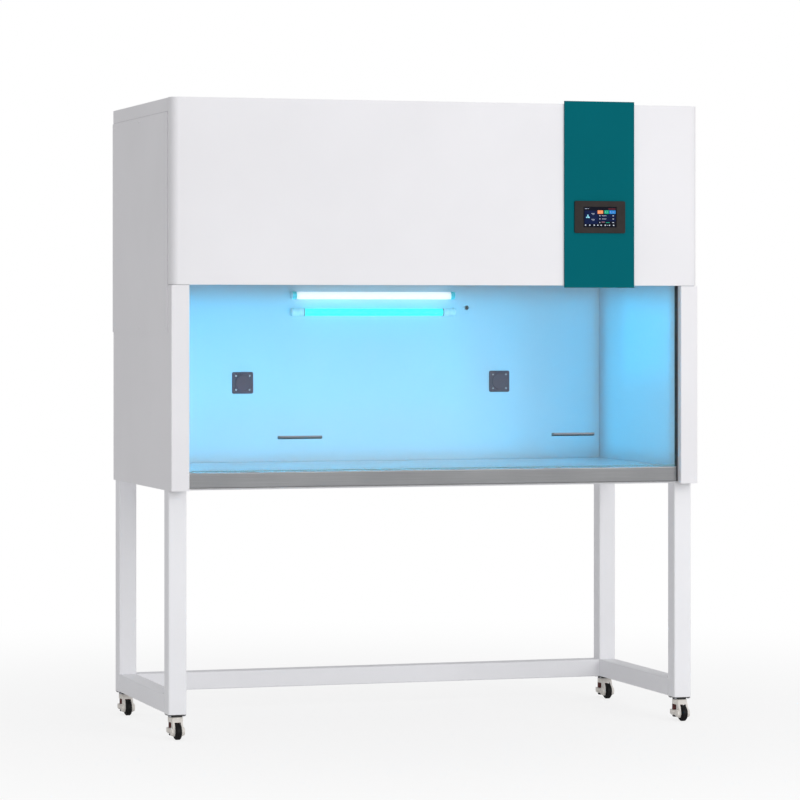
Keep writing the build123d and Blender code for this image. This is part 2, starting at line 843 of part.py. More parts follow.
def filter_frame():
    width = 2 * filter_x
    depth = filter_back_y - filter_front_y
    inner = Rectangle(width - 2 * filter_frame_wall, depth - 2 * filter_frame_wall)
    ring = extrude(Rectangle(width, depth) - inner, amount=filter_height)
    return Pos(0, (filter_front_y + filter_back_y) / 2, seat_top_z) * ring


def filter_media():
    # The paper runs up and down in pleats across the width of the frame.
    width = 2 * (filter_x - filter_frame_wall)
    pitch = width / pleat_count
    low = (filter_height - pleat_height) / 2
    lower = []
    for fold in range(2 * pleat_count + 1):
        lower.append((-width / 2 + fold * pitch / 2, low + pleat_height * (fold % 2)))
    upper = [(x, z + media_thickness * 4) for x, z in reversed(lower)]
    section = Plane.XZ * make_face(Polyline(*lower, *upper, close=True))
    depth = filter_back_y - filter_front_y - 2 * filter_frame_wall
    middle_y = (filter_front_y + filter_back_y) / 2
    return Pos(0, middle_y, seat_top_z) * extrude(section, amount=depth / 2, both=True)


def diffuser_screen():
    # A shallow perforated tray under the filter.
    half = inner_x - diffuser_gap
    front = plenum_front_y
    depth = liner_back_y - diffuser_gap - front
    tray = Box(2 * half, depth, diffuser_rim)
    tray = offset(tray, amount=-liner_sheet, openings=tray.faces().sort_by(Axis.Z)[-1])
    slots = slot_field(
        2 * (half - diffuser_margin), depth - 2 * diffuser_margin,
        diffuser_columns, diffuser_rows, diffuser_slot, diffuser_bridge,
    )
    tray -= Pos(0, 0, -diffuser_rim / 2 - liner_sheet) * extrude(slots, amount=3 * liner_sheet)
    return Pos(0, front + depth / 2, ceiling_z - diffuser_rim / 2) * tray


def blade():
    # A backward-curved blade between the back plate and the front shroud.
    swept = math.radians(blade_sweep)
    start = (blade_inner_radius, 0)
    end = (impeller_radius * math.cos(swept), impeller_radius * math.sin(swept))
    line = RadiusArc(start, end, impeller_radius)
    return make_face(offset(line, amount=impeller_sheet, side=Side.LEFT).edges())


def fan_impeller():
    plate = extrude(Circle(impeller_radius), amount=impeller_sheet)
    hub = extrude(Circle(motor_shaft_radius + 14), amount=motor_shaft_reach + 6)
    rim_z = impeller_height * 0.62
    eye_z = impeller_height
    shroud = revolve(
        Plane.XZ * make_face(Polyline(
            (impeller_eye_radius, eye_z), (impeller_eye_radius + impeller_sheet, eye_z),
            (impeller_eye_radius + 10, eye_z - 12), (impeller_radius, rim_z),
            (impeller_radius, rim_z - impeller_sheet), (impeller_eye_radius, eye_z - 14), close=True,
        )),
        Axis.Z,
    )
    under = revolve(
        Plane.XZ * make_face(Polyline(
            (0, 0), (impeller_radius, 0), (impeller_radius, rim_z - 0.5 * impeller_sheet),
            (impeller_eye_radius, eye_z - 13), (0, eye_z - 13), close=True,
        )),
        Axis.Z,
    )
    footprint = Sketch() + PolarLocations(0, blade_count) * blade()
    blades = extrude(footprint, amount=impeller_height) & under
    wheel = plate + hub + shroud + blades
    wheel -= extrude(Circle(motor_shaft_radius + running_gap), amount=motor_shaft_reach + 2)
    return Pos(0, plenum_mid_y, impeller_bottom_z) * wheel


def fan_motor():
    # The motor hangs under the impeller on four arms that reach up to the deck.
    can_top = impeller_bottom_z - motor_gap
    can = Pos(0, 0, can_top - motor_height) * extrude(Circle(motor_radius), amount=motor_height)
    can = fillet(can.edges().group_by(Axis.Z)[0], motor_corner)
    shaft_length = motor_gap + motor_shaft_reach
    shaft = Pos(0, 0, can_top) * extrude(Circle(motor_shaft_radius), amount=shaft_length)
    reach = impeller_radius + motor_arm_reach
    half = motor_arm_width / 2
    arm_z = can_top - motor_height + motor_arm_rise
    arm = block(motor_radius - motor_arm_lap, reach, -half, half, arm_z, arm_z + motor_arm_sheet)
    arm += block(reach - motor_arm_sheet, reach, -half, half, arm_z, plenum_top_z - outer_sheet)
    arms = Part() + PolarLocations(0, 4, 45) * arm
    return Pos(0, plenum_mid_y, 0) * (can + shaft + arms)


def prefilter():
    pad = Rectangle(intake_length + 2 * prefilter_margin, intake_width + 2 * prefilter_margin)
    body = extrude(pad, amount=-prefilter_thickness)
    body = fillet(body.edges().filter_by(Axis.Z), prefilter_corner)
    return Pos(0, plenum_mid_y, top_z - outer_sheet) * body


nodes["plenum"] = plenum()
nodes["hepa_filter"] = group(filter_frame(), filter_media())
nodes["diffuser_screen"] = diffuser_screen()
nodes["fan_impeller"] = fan_impeller()
nodes["fan_motor"] = fan_motor()
nodes["prefilter"] = prefilter()


# Lamps, sockets and inlet ----------------------------------------------------

lamp_y = liner_back_y - lamp_wall_gap - lamp_radius


def lamp_tube(height, cap_length):
    # The tube ends inside its caps, half-way along them.
    length = lamp_length - cap_length
    tube_body = extrude(Plane.YZ * Circle(lamp_radius), amount=length / 2, both=True)
    return Pos(0, lamp_y, worktop_z + height) * tube_body


def lamp_holder(height, cap_length):
    outer = lamp_radius + lamp_cap_wall
    cap = Plane.YZ * extrude(Circle(outer), amount=cap_length)
    foot = block(cap_length / 2 - lamp_foot_width / 2, cap_length / 2 + lamp_foot_width / 2,
                 0, liner_back_y - lamp_y, -lamp_foot_height / 2, lamp_foot_height / 2)
    cap += foot
    cap -= Plane.YZ * extrude(Circle(lamp_radius + running_gap), amount=cap_length / 2)
    return Pos(lamp_length / 2 - cap_length, lamp_y, worktop_z + height) * cap


def socket_body():
    outline = RectangleRounded(socket_side, socket_side, socket_corner)
    plate = extrude(outline, amount=socket_plate_thickness)
    plate = chamfer(plate.faces().sort_by(Axis.Z)[-1].edges(), socket_chamfer)
    plate += extrude(Circle(socket_body_radius - 1), amount=-socket_body_depth)
    plate -= Pos(0, 0, socket_plate_thickness - socket_well_depth) * extrude(
        Circle(socket_well_radius), amount=socket_well_depth
    )
    contacts = Sketch() + GridLocations(socket_pin_spacing, 1, 2, 1) * Circle(socket_pin_radius)
    plate -= Pos(0, 0, socket_plate_thickness - socket_well_depth - socket_pin_depth) * extrude(
        contacts, amount=socket_pin_depth
    )
    ear = lid_ear()
    pin = extrude(Plane.YZ * Circle(lid_pin_radius), amount=lid_barrel_length / 2 + 3, both=True)
    plate += [Pos(side * (lid_barrel_length / 2 + 2 + lid_gap), 0, 0) * ear for side in (-1, 1)]
    return plate + Pos(0, hinge_rise, hinge_out) * pin


def lid_ear():
    outline = Pos(hinge_rise, hinge_out) * Circle(lid_barrel_radius)
    outline += Pos(hinge_rise, hinge_out / 2) * Rectangle(2 * lid_barrel_radius, hinge_out)
    return extrude(Plane.YZ * outline, amount=2, both=True)


def socket_lid():
    disc = extrude(Circle(lid_radius), amount=lid_thickness)
    disc = fillet(disc.edges().group_by(Axis.Z)[-1], socket_chamfer)
    barrel = extrude(Plane.YZ * Circle(lid_barrel_radius), amount=lid_barrel_length / 2, both=True)
    thin = lid_thickness - 1
    neck_low = lid_radius - lid_tab_reach
    tab_low = -lid_radius - lid_tab_reach
    tab_high = -lid_radius + lid_tab_reach
    neck = block(-lid_barrel_length / 2, lid_barrel_length / 2, neck_low, hinge_rise, 0, thin)
    tab = block(-lid_tab_width / 2, lid_tab_width / 2, tab_low, tab_high, 0, thin)
    lid = Pos(0, 0, lid_floor) * (disc + neck + tab) + Pos(0, hinge_rise, hinge_out) * barrel
    pin = extrude(Plane.YZ * Circle(lid_pin_radius + running_gap), amount=lid_barrel_length, both=True)
    return lid - Pos(0, hinge_rise, hinge_out) * pin


def socket_place(side):
    return Plane(
        origin=(side * socket_span / 2, liner_back_y, worktop_z + socket_height),
        x_dir=(1, 0, 0), z_dir=(0, -1, 0),
    )


def power_inlet():
    flange = extrude(RectangleRounded(inlet_width, inlet_tall, inlet_corner), amount=inlet_flange)
    flange += extrude(
        Rectangle(inlet_well_width + 5, inlet_well_tall + 3), amount=-inlet_body_depth
    )
    well = extrude(Rectangle(inlet_well_width, inlet_well_tall), amount=-inlet_well_depth - inlet_flange)
    flange -= Pos(0, 0, inlet_flange) * well
    blade_size = Rectangle(inlet_pin_width, inlet_pin_tall)
    pins = Pos(0, inlet_pin_rise) * blade_size
    pins += [Pos(side * inlet_pin_spacing, -inlet_pin_rise) * blade_size for side in (-1, 1)]
    flange += Pos(0, 0, -inlet_well_depth) * extrude(pins, amount=inlet_well_depth - 2)
    place = Plane(
        origin=(inlet_x, back_panel_y + outer_sheet, base_z + inlet_height), x_dir=(-1, 0, 0), z_dir=(0, 1, 0)
    )
    return place * flange


lid_floor = socket_plate_thickness + lid_gap
hinge_rise = lid_radius + lid_barrel_radius + 1
hinge_out = lid_floor + lid_barrel_radius + 0.5
lamps = [
    (ceiling_height - led_below_ceiling, led_cap_length),
    (ceiling_height - uv_below_ceiling, uv_cap_length),
]
nodes["led_tube"] = lamp_tube(*lamps[0])
nodes["uv_tube"] = lamp_tube(*lamps[1])
nodes["lamp_holders"] = group(*[holder for lamp in lamps for holder in both_sides(lamp_holder(*lamp))])
nodes["socket_bodies"] = group(*[socket_place(side) * socket_body() for side in (-1, 1)])
nodes["socket_lid_left"] = socket_place(-1) * socket_lid()
nodes["socket_lid_right"] = socket_place(1) * socket_lid()
nodes["power_inlet"] = power_inlet()


os.makedirs("parts", exist_ok=True)
for name, part in nodes.items():
    export_step(part, f"parts/{name}.step")
print(len(nodes), "nodes; sash travel", round(sash_travel, 2))
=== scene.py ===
import bpy
import bmesh
import json
import math
from mathutils import Matrix, Vector


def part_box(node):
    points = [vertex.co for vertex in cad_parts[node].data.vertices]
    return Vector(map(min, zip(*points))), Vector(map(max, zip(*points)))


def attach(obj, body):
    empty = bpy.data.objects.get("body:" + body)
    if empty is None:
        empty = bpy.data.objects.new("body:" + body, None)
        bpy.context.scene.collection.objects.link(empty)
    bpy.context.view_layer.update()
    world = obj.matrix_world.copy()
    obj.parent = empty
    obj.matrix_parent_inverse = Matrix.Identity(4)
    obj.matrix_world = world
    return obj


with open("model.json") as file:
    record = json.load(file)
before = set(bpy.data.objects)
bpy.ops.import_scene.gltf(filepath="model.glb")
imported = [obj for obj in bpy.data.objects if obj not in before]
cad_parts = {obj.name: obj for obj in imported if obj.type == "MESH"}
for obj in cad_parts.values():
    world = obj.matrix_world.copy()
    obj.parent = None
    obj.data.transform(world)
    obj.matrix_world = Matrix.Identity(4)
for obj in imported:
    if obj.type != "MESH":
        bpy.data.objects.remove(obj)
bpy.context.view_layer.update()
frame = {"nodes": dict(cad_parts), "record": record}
cad = frame["nodes"]
mm = 0.001


class Field:
    # a socket in a material, with the sums that its numbers need
    def __init__(self, tree, socket=None):
        self.tree = tree
        self.socket = socket

    def node(self, kind, settings=None, values=None, out=0):
        made = self.tree.nodes.new("ShaderNode" + kind)
        for name, value in (settings or {}).items():
            if name == "stops":
                self.fillRamp(made, value)
            else:
                setattr(made, name, value)
        for name, value in (values or {}).items():
            if isinstance(value, Field):
                self.tree.links.new(value.socket, made.inputs[name])
            else:
                made.inputs[name].default_value = value
        return Field(self.tree, made.outputs[out] if made.outputs else None)

    def fillRamp(self, made, stops):
        points = made.color_ramp.elements
        while len(points) < len(stops):
            points.new(1)
        for point, (place, colour) in zip(points, stops):
            point.position = place
            point.color = colour

    def maths(self, operation, *terms):
        return self.node("Math", {"operation": operation}, dict(enumerate(terms)))

    def __add__(self, other):
        return self.maths("ADD", self, other)

    def __radd__(self, other):
        return self.maths("ADD", other, self)

    def __sub__(self, other):
        return self.maths("SUBTRACT", self, other)

    def __rsub__(self, other):
        return self.maths("SUBTRACT", other, self)

    def __mul__(self, other):
        return self.maths("MULTIPLY", self, other)

    def __rmul__(self, other):
        return self.maths("MULTIPLY", other, self)

    def ramp(self, low, high, start=0.0, end=1.0):
        values = {"Value": self, "From Min": low, "From Max": high, "To Min": start, "To Max": end}
        return self.node("MapRange", {"interpolation_type": "SMOOTHSTEP"}, values)

    def mix(self, first, second):
        values = {0: self, 6: first, 7: second}
        return self.node("Mix", {"data_type": "RGBA"}, values, out=2)


def linear(red, green, blue, alpha=1.0):
    channels = [value / 255 for value in (red, green, blue)]
    channels = [c / 12.92 if c <= 0.04045 else ((c + 0.055) / 1.055) ** 2.4 for c in channels]
    return (*channels, alpha)


def shade(colour, amount):
    return (*[min(1.0, channel * amount) for channel in colour[:3]], colour[3])


def here(field):
    return field.node("TexCoord", out=3)


def stretched(field, scale):
    return field.node("Mapping", {"vector_type": "POINT"}, {"Vector": here(field), "Scale": scale})


def noise(field, scale, detail=2.0, rough=0.5, at=None):
    values = {"Vector": at or here(field), "Scale": scale, "Detail": detail, "Roughness": rough}
    return field.node("TexNoise", None, values)


def bump(field, height, distance, strength=1.0):
    return field.node("Bump", None, {"Height": height, "Distance": distance, "Strength": strength})


def makeMaterial(name, fixed, draw=None):
    material = bpy.data.materials.new(name)
    material.use_nodes = True
    material.node_tree.nodes.clear()
    start = Field(material.node_tree)
    values = dict(fixed)
    if draw:
        values.update(draw(start))
    shader = start.node("BsdfPrincipled", None, values)
    start.node("OutputMaterial", None, {"Surface": shader})
    if "Base Color" in fixed:
        material.diffuse_color = fixed["Base Color"]
    return material


def powderCoat(name, colour, roughness=0.42, grain=1100.0, depth=0.00004, gloss=0.4):
    def draw(field):
        cloud = noise(field, 3.0, 3.0)
        peel = noise(field, grain, 1.0)
        speck = noise(field, 420.0, 3.0, 0.6)
        tone = (cloud * 0.7 + speck * 0.3).ramp(0.3, 0.7)
        return {
            "Base Color": tone.mix(shade(colour, 0.975), shade(colour, 1.015)),
            "Roughness": speck.ramp(0.3, 0.7, roughness - 0.05, roughness + 0.06),
            "Normal": bump(field, peel, depth, 0.6),
        }
    return makeMaterial(name, {"Specular IOR Level": gloss}, draw)


def brushedMetal(name, colour, roughness, scale=(6.0, 900.0, 900.0), contrast=0.12):
    def draw(field):
        lines = noise(field, 1.0, 4.0, 0.65, stretched(field, scale))
        stain = noise(field, 5.0, 3.0)
        tone = (lines * 0.75 + stain * 0.25).ramp(0.28, 0.72)
        return {
            "Base Color": tone.mix(shade(colour, 1 - contrast), shade(colour, 1 + contrast / 2)),
            "Roughness": lines.ramp(0.25, 0.75, roughness - 0.07, roughness + 0.08),
            "Normal": bump(field, lines, 0.00002, 0.5),
        }
    return makeMaterial(name, {"Metallic": 1.0}, draw)


def worktopSteel():
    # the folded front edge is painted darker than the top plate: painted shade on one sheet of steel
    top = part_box("worktop")[1].z

    def draw(field):
        lines = noise(field, 1.0, 4.0, 0.65, stretched(field, (5.0, 700.0, 700.0)))
        stain = noise(field, 4.0, 4.0, 0.6)
        tone = (lines * 0.6 + stain * 0.4).ramp(0.28, 0.72)
        tall = field.node("SeparateXYZ", None, {"Vector": here(field)}, out=2)
        plate = (tall - top).ramp(-0.0022, -0.0008)
        # the front edge's darker colour is painted shade, a shaded copy of the top's steel
        paintedShadeFront = tone.mix(linear(120, 121, 123), linear(140, 141, 142))
        bright = tone.mix(linear(236, 238, 240), linear(248, 249, 250))
        return {
            "Base Color": plate.mix(paintedShadeFront, bright),
            "Roughness": lines.ramp(0.25, 0.75, 0.3, 0.44),
            "Normal": bump(field, lines, 0.00002, 0.5),
        }
    return makeMaterial("worktopSteel", {"Metallic": 0.85}, draw)


def drilledSheet():
    # the screen's fine round holes, too small and many to cut: the hole pattern is real, its dark
    # colour is painted shade
    def draw(field):
        pitch = stretched(field, (160.0, 160.0, 1.0))
        cell = field.node("TexVoronoi", {"feature": "F1", "voronoi_dimensions": "2D"},
                          {"Vector": pitch, "Scale": 1.0, "Randomness": 0.0})
        hole = cell.ramp(0.24, 0.28, 1.0, 0.0)
        stain = noise(field, 6.0, 3.0).ramp(0.3, 0.7)
        sheet = stain.mix(linear(196, 200, 204), linear(214, 218, 222))
        return {
            # the holes' near-black is painted shade for what is seen through them
            "Base Color": hole.mix(sheet, linear(36, 40, 44)),
            "Metallic": 0.9 - hole * 0.9,
            "Roughness": stain.ramp(0.0, 1.0, 0.32, 0.45),
            "Normal": bump(field, cell.ramp(0.22, 0.30), 0.0003, 0.7),
        }
    return makeMaterial("drilledSheet", {"Specular IOR Level": 0.4}, draw)


def moulded(name, colour, roughness=0.5, grain=1500.0, depth=0.00005, fixed=None):
    def draw(field):
        spark = noise(field, grain, 2.0, 0.6)
        worn = noise(field, 30.0, 4.0, 0.6)
        return {
            "Base Color": worn.ramp(0.3, 0.7).mix(shade(colour, 0.9), shade(colour, 1.08)),
            "Roughness": spark.ramp(0.3, 0.7, roughness - 0.08, roughness + 0.08),
            "Normal": bump(field, spark, depth, 0.7),
        }
    return makeMaterial(name, fixed or {"Specular IOR Level": 0.45}, draw)


print("materials")

paints = {
    "cabinet": linear(240, 239, 242),
    "stand": linear(246, 246, 249),
    "teal": linear(0, 101, 111),
    # the liner's pale blue tint is painted light, standing in for part of the lamps' cyan glow
    "liner": linear(200, 222, 233),
    "steel": linear(190, 192, 194),
    "aluminium": linear(190, 191, 194),
    "caster": linear(238, 233, 226),
    "thumbwheel": linear(96, 38, 34),
    "bezel": linear(52, 48, 47),
    "socket": linear(82, 52, 68),
    "screen": linear(9, 14, 30),
    "guide": linear(46, 47, 50),
    "darkSteel": linear(40, 38, 38),
    "nylon": linear(16, 14, 14),
    "zinc": linear(196, 198, 204),
    "belt": linear(26, 26, 28),
    "handle": linear(132, 134, 138),
}

lampLight = {
    "white": (1.0, 1.0, 1.0, 1.0),
    "cyan": linear(60, 255, 245),
    "whiteStrength": 0.64,
    "cyanStrength": 0.42,
    "whiteHalf": 0.232,
    "cyanHalf": 0.208,
}


def glowingTube(name, colour, strength, halfLength, endFade):
    # a phosphor tube, a little dimmer at each end
    def draw(field):
        across = field.node("SeparateXYZ", None, {"Vector": here(field)})
        fromEnd = halfLength - across.maths("ABSOLUTE", across)
        fade = fromEnd.ramp(0.0, endFade)
        dust = noise(field, 260.0, 2.0)
        return {
            "Base Color": dust.ramp(0.3, 0.7).mix(shade(colour, 0.9), colour),
            "Emission Color": fade.mix(shade(colour, 0.55), colour),
        }
    fixed = {"Emission Strength": strength, "Roughness": 0.12, "Specular IOR Level": 0.5}
    return makeMaterial(name, fixed, draw)


def clearPane():
    # toughened glass: almost clear, greener and denser along its ground edges
    low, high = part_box("sash_glass")

    def draw(field):
        place = here(field)
        tall = field.node("SeparateXYZ", None, {"Vector": place}, out=2)
        wide = field.node("SeparateXYZ", None, {"Vector": place}, out=0)
        foot = (tall - low.z).ramp(0.0, 0.0035, 1.0, 0.0)
        side = (high.x - wide.maths("ABSOLUTE", wide)).ramp(0.0, 0.003, 1.0, 0.0)
        edge = foot.maths("MAXIMUM", foot, side)
        smear = noise(field, 3.5, 4.0, 0.6).ramp(0.45, 0.75, 0.0, 0.012)
        return {
            "Base Color": edge.mix(linear(196, 228, 232), linear(66, 132, 126)),
            "Alpha": 0.035 + smear + edge * 0.75,
            "Roughness": noise(field, 9.0, 3.0).ramp(0.4, 0.7, 0.03, 0.07),
        }
    return makeMaterial("sashGlass", {"Specular IOR Level": 0.5}, draw)


def paperPleats():
    def draw(field):
        fibre = noise(field, 1.0, 5.0, 0.7, stretched(field, (900.0, 300.0, 900.0)))
        mottle = noise(field, 60.0, 4.0)
        tone = (fibre * 0.6 + mottle * 0.4).ramp(0.3, 0.7)
        return {
            "Base Color": tone.mix(linear(222, 222, 214), linear(246, 246, 240)),
            "Normal": bump(field, fibre, 0.0001, 0.6),
        }
    return makeMaterial("filterPaper", {"Roughness": 0.9, "Specular IOR Level": 0.2}, draw)


def glowPaintedPlastic(name, dim, bright, glow):
    # a cap of milky plastic with painted glow: its emission stands in for the lamp's light shining
    # through it
    def draw(field):
        cloud = noise(field, 120.0, 3.0)
        grain = noise(field, 1400.0, 2.0)
        share = cloud.ramp(0.3, 0.7)
        return {
            "Base Color": share.mix(dim, bright),
            "Emission Color": share.mix(linear(70, 210, 210), linear(120, 240, 236)),
            "Roughness": grain.ramp(0.3, 0.7, 0.28, 0.42),
        }
    return makeMaterial(name, {"Emission Strength": glow, "Specular IOR Level": 0.45}, draw)


def looseFibre():
    def draw(field):
        mat = noise(field, 700.0, 6.0, 0.75)
        clump = noise(field, 90.0, 4.0)
        tone = (mat * 0.6 + clump * 0.4).ramp(0.35, 0.65)
        return {
            "Base Color": tone.mix(linear(150, 158, 162), linear(214, 220, 222)),
            "Normal": bump(field, mat, 0.0006, 0.8),
        }
    return makeMaterial("prefilterFibre", {"Roughness": 0.95, "Specular IOR Level": 0.1}, draw)


def softRubber():
    def draw(field):
        grit = noise(field, 1300.0, 3.0)
        bloom = noise(field, 45.0, 4.0)
        return {
            "Base Color": bloom.ramp(0.4, 0.7).mix(linear(22, 22, 23), linear(46, 46, 48)),
            "Roughness": grit.ramp(0.3, 0.7, 0.62, 0.85),
            "Normal": bump(field, grit, 0.00006, 0.7),
        }
    return makeMaterial("rubberBlack", {"Specular IOR Level": 0.3}, draw)


finishes = {
    "cabinet_paint": powderCoat("cabinetPaint", paints["cabinet"]),
    "stand_paint": powderCoat("standPaint", paints["stand"], 0.45, 1000.0),
    "strip_teal": powderCoat("stripTeal", paints["teal"], 0.6, 1300.0, 0.00003, 0.03),
    "bezel_grey": moulded("bezelGrey", paints["bezel"], 0.6, fixed={"Specular IOR Level": 0.12}),
    "screen": moulded(
        "screenGlass", paints["screen"], 0.3, 400.0, 0.00001, {"Specular IOR Level": 0.04}),
    "stainless": brushedMetal("stainless", paints["steel"], 0.34),
    "liner": powderCoat("linerSatin", paints["liner"], 0.46, 900.0, 0.00003),
    "sash_glass": clearPane(),
    "guide_black": moulded("guideBlack", paints["guide"], 0.45),
    "aluminium": brushedMetal("aluminium", paints["aluminium"], 0.36, (8.0, 700.0, 700.0)),
    "caster_body": powderCoat("casterCream", paints["caster"], 0.38, 800.0),
    "dark_steel": moulded("darkSteel", paints["darkSteel"], 0.4),
    "nylon_black": moulded(
        "nylonBlack", paints["nylon"], 0.5, 900.0, fixed={"Specular IOR Level": 0.2}),
    "thumbwheel_red": moulded("thumbwheelRed", paints["thumbwheel"], 0.38, 900.0),
    "rubber_black": softRubber(),
    "zinc": brushedMetal("zincPlate", paints["zinc"], 0.3, (300.0, 300.0, 300.0), 0.2),
    "filter_paper": paperPleats(),
    "prefilter_fibre": looseFibre(),
    "lamp_white": glowingTube(
        "lampWhite", lampLight["white"], lampLight["whiteStrength"], lampLight["whiteHalf"], 0.012),
    "lamp_blue": glowingTube(
        "lampBlue", lampLight["cyan"], lampLight["cyanStrength"], lampLight["cyanHalf"], 0.010),
    # the white plastic parts get a faint painted glow
    "white_plastic": glowPaintedPlastic("whitePlastic", linear(206, 230, 236), linear(232, 244, 246), 0.05),
    "socket_grey": moulded("socketGrey", paints["socket"], 0.42),
    "belt_black": moulded("beltBlack", paints["belt"], 0.6, 700.0, 0.0001),
}

for entry in frame["record"]["subparts"]:
    for holder in cad[entry["node"]].material_slots:
        holder.material = finishes[entry["material_slot"]]
cad["worktop"].material_slots[0].material = worktopSteel()
cad["diffuser_screen"].material_slots[0].material = drilledSheet()
cad["sash_handles"].material_slots[0].material = brushedMetal(
    "handleMetal", paints["handle"], 0.3, (8.0, 700.0, 700.0))


def emptyMesh(name):
    mesh = bpy.data.meshes.new(name)
    item = bpy.data.objects.new(name, mesh)
    bpy.context.scene.collection.objects.link(item)
    return item


print("fittings")


def putPiece(name, shape, body, material):
    bmesh.ops.recalc_face_normals(shape, faces=shape.faces)
    item = emptyMesh(name)
    shape.to_mesh(item.data)
    shape.free()
    item.data.materials.append(material)
    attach(item, body)
    return item


def turned(profile, steps):
    # a shape turned about Z from (radius, height) pairs
    shape = bmesh.new()
    points = [shape.verts.new((radius * mm, 0, height * mm)) for radius, height in profile]
    lines = [shape.edges.new(pair) for pair in zip(points, points[1:])]
    bmesh.ops.spin(shape, geom=points + lines, cent=(0, 0, 0), axis=(0, 0, 1), angle=2 * math.pi,
                   steps=steps, use_merge=True)
    bmesh.ops.remove_doubles(shape, verts=shape.verts, dist=1e-6)
    return shape


def roundedPlate(wide, tall, thick, corner):
    # a flat plate lying in XY, its back on Z = 0
    shape = bmesh.new()
    bmesh.ops.create_grid(shape, x_segments=1, y_segments=1, size=0.5 * mm,
                          matrix=Matrix.Diagonal((wide, tall, 1, 1)))
    bmesh.ops.bevel(shape, geom=shape.verts, offset=corner * mm, segments=4, profile=0.5,
                    affect="VERTICES", material=-1)
    grown = bmesh.ops.extrude_face_region(shape, geom=shape.faces)["geom"]
    risen = [part for part in grown if isinstance(part, bmesh.types.BMVert)]
    bmesh.ops.translate(shape, verts=risen, vec=(0, 0, thick * mm))
    return shape


def facing(place, normal, roll=0.0):
    turn = Vector(normal).to_track_quat("Z", "Y").to_matrix().to_4x4()
    return Matrix.Translation(Vector(place) * mm) @ turn @ Matrix.Rotation(roll, 4, "Z")


def scatter(name, template, frames, body, material):
    # one piece from many copies of a small shape
    small = bpy.data.meshes.new(name + "Shape")
    template.to_mesh(small)
    template.free()
    shape = bmesh.new()
    for place in frames:
        copy = small.copy()
        copy.transform(place)
        shape.from_mesh(copy)
        bpy.data.meshes.remove(copy)
    bpy.data.meshes.remove(small)
    return putPiece(name, shape, body, material)


def joinInto(shape, other):
    small = bpy.data.meshes.new("joined")
    other.to_mesh(small)
    other.free()
    shape.from_mesh(small)
    bpy.data.meshes.remove(small)


def placed(shape, place):
    bmesh.ops.transform(shape, matrix=place, verts=shape.verts)
    return shape


front, back, up, down = (0, -1, 0), (0, 1, 0), (0, 0, 1), (0, 0, -1)
corners = [(dx, dy) for dx in (-1, 1) for dy in (-1, 1)]
screwSizes = {
    "head": 3.6,
    "rise": 1.7,
    "socket": 1.7,
    "depth": 1.0,
    "crownReach": 0.72,
    "cheekReach": 0.92,
    "cheekRise": 0.66,
    "steps": 12,
}


def screwHead(scale=1.0):
    head, rise, socket, depth = [screwSizes[key] * scale for key in ("head", "rise", "socket", "depth")]
    crown, cheek = head * screwSizes["crownReach"], head * screwSizes["cheekReach"]
    profile = [(0, rise - depth), (socket, rise - depth), (socket, rise), (crown, rise),
               (cheek, rise * screwSizes["cheekRise"]), (head, 0)]
    return turned(profile, screwSizes["steps"])


def screws(name, frames, scale=1.0, slot="zinc"):
    scatter(name, screwHead(scale), frames, "cabinet", finishes[slot])


def extent(name):
    # the two corners of a piece's box, in millimetres
    return [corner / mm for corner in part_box(name)]


coverScrews = {"inset": 12.0, "rows": 4, "scale": 0.8}


def addCoverScrews():
    low, high = extent("side_covers")
    inset, rows = coverScrews["inset"], coverScrews["rows"]
    nearY, middleY, farY = low.y + inset, (low.y + high.y) / 2, high.y - inset
    frames = []
    for side in (-1, 1):
        out = (side, 0, 0)
        for step in range(rows):
            tall = low.z + inset + step * (high.z - low.z - 2 * inset) / (rows - 1)
            frames += [facing((side * high.x, y, tall), out) for y in (nearY, farY)]
        frames += [facing((side * high.x, middleY, z), out) for z in (low.z + inset, high.z - inset)]
    screws("coverScrews", frames, coverScrews["scale"], "cabinet_paint")


backScrews = {"inset": 12.0, "shoulder": 32.0, "footLift": 20.0, "rows": 6, "columns": 7}


def addBackScrews():
    low, high = extent("back_panel")
    inset, rows, columns = [backScrews[key] for key in ("inset", "rows", "columns")]
    wide = high.x - backScrews["shoulder"] - inset
    foot = low.z + inset + backScrews["footLift"]
    head = extent("roof_panel")[0].z - inset
    frames = []
    for step in range(rows):
        tall = foot + step * (head - foot) / (rows - 1)
        frames += [facing((side * wide, high.y, tall), back) for side in (-1, 1)]
    for step in range(1, columns - 1):
        x = -wide + 2 * wide * step / (columns - 1)
        frames += [facing((x, high.y, z), back) for z in (foot, head)]
    screws("backScrews", frames)


roofScrews = {"inset": 14.0, "count": 5}


def addRoofScrews():
    low, high = extent("roof_panel")
    inset, count = roofScrews["inset"], roofScrews["count"]
    span = high.y - low.y - 2 * inset
    wide = high.x - inset
    places = [low.y + inset + span * step / (count - 1) for step in range(count)]
    screws("roofScrews", [facing((side * wide, y, high.z), up) for side in (-1, 1) for y in places])


socketTrim = {
    "plateRise": 4.0,
    "screwReach": 20.0,
    "screwScale": 0.72,
    "rimOut": 22.4,
    "rimIn": 20.2,
    "rimRise": 0.7,
    "rimEdge": 0.6,
    "lidFace": 8.4,
    "middleRise": 28.0,
}


def addSocketTrim():
    wall = extent("inner_back_wall")[0].y
    reach, plate = socketTrim["screwReach"], wall - socketTrim["plateRise"]
    outer, inner, rise, edge = [socketTrim[key] for key in ("rimOut", "rimIn", "rimRise", "rimEdge")]
    frames = []
    for side in ("left", "right"):
        low, high = extent("socket_lid_" + side)
        x, z = (low.x + high.x) / 2, low.z + socketTrim["middleRise"]
        frames += [facing((x + dx * reach, plate, z + dz * reach), front) for dx, dz in corners]
        ring = turned([(outer, 0), (outer - edge, rise), (inner + edge, rise), (inner, 0)], 48)
        placed(ring, facing((x, wall - socketTrim["lidFace"], z), front))
        putPiece("lidRim_" + side, ring, "socket_lid_" + side, finishes["socket_grey"])
    screws("socketScrews", frames, socketTrim["screwScale"])


